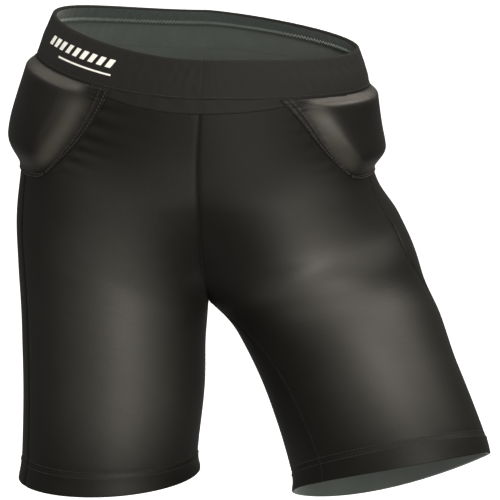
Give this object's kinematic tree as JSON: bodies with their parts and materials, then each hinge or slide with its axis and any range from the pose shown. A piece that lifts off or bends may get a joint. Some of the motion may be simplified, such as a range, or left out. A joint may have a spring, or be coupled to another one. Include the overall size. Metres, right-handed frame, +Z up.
{
  "type": "padded impact shorts",
  "caption": "Close-fitting knit shorts with a folded elastic waistband, moulded foam pads over the hips and tailbone, and legs that swing at the hips.",
  "frame": {"origin": "centre of the waist opening, the middle of the band's top edge", "axes": "+Z up along the wearer's body, -Y towards the wearer's front, +X towards the wearer's left"},
  "size_m": [0.3795, 0.2509, 0.3959],
  "materials": {
    "body_fabric": "smooth black elastane knit with a soft sheen",
    "waistband_fabric": "matt black elastane knit",
    "pad_cover": "smooth black knit moulded over foam, soft sheen on the edges",
    "seam": "black flat seam thread",
    "black_thread": "black polyester thread",
    "grey_thread": "grey polyester thread",
    "elastic": "woven elastic webbing",
    "inner_face": "brushed grey inner face of the knit",
    "foam": "closed-cell foam",
    "print": "white rubber print"
  },
  "bodies": {
    "seat": {"waistband": "waistband_fabric", "waist_elastic": "elastic", "waistband_zigzag": "grey_thread", "waist_seam_thread": "black_thread", "waistband_bars": "print", "front_yoke": "body_fabric", "front_panel_right": "body_fabric", "front_panel_left": "body_fabric", "back_panel_right": "body_fabric", "back_panel_left": "body_fabric", "front_centre_seam": "seam", "back_centre_seam": "seam", "side_seam_hip_right": "seam", "side_seam_hip_left": "seam", "hip_foam_right": "foam", "hip_foam_left": "foam", "hip_cover_right": "pad_cover", "hip_cover_left": "pad_cover", "hip_stitching_right": "black_thread", "hip_stitching_left": "black_thread", "tailbone_foam": "foam", "tailbone_cover": "pad_cover", "tailbone_stitching": "black_thread", "stretch_zone_right": "body_fabric", "stretch_zone_left": "body_fabric"},
    "right_leg": {"front_leg_right": "body_fabric", "back_leg_right": "body_fabric", "hem_fold_right": "inner_face", "hem_stitching_right": "black_thread", "inseam_right": "seam", "side_seam_leg_right": "seam"},
    "left_leg": {"front_leg_left": "body_fabric", "back_leg_left": "body_fabric", "hem_fold_left": "inner_face", "hem_stitching_left": "black_thread", "inseam_left": "seam", "side_seam_leg_left": "seam"}
  },
  "joints": [
    {"name": "right_leg_swing", "type": "hinge", "parent": "seat", "child": "right_leg", "pos_m": [-0.08, 0.005, -0.15], "axis": [1, 0, 0], "range_deg": [-30, 20], "stiffness_Nm_per_rad": 2, "deforming": ["stretch_zone_right"]},
    {"name": "left_leg_swing", "type": "hinge", "parent": "seat", "child": "left_leg", "pos_m": [0.08, 0.005, -0.15], "axis": [1, 0, 0], "range_deg": [-15, 30], "stiffness_Nm_per_rad": 2, "deforming": ["stretch_zone_left"]}
  ]
}
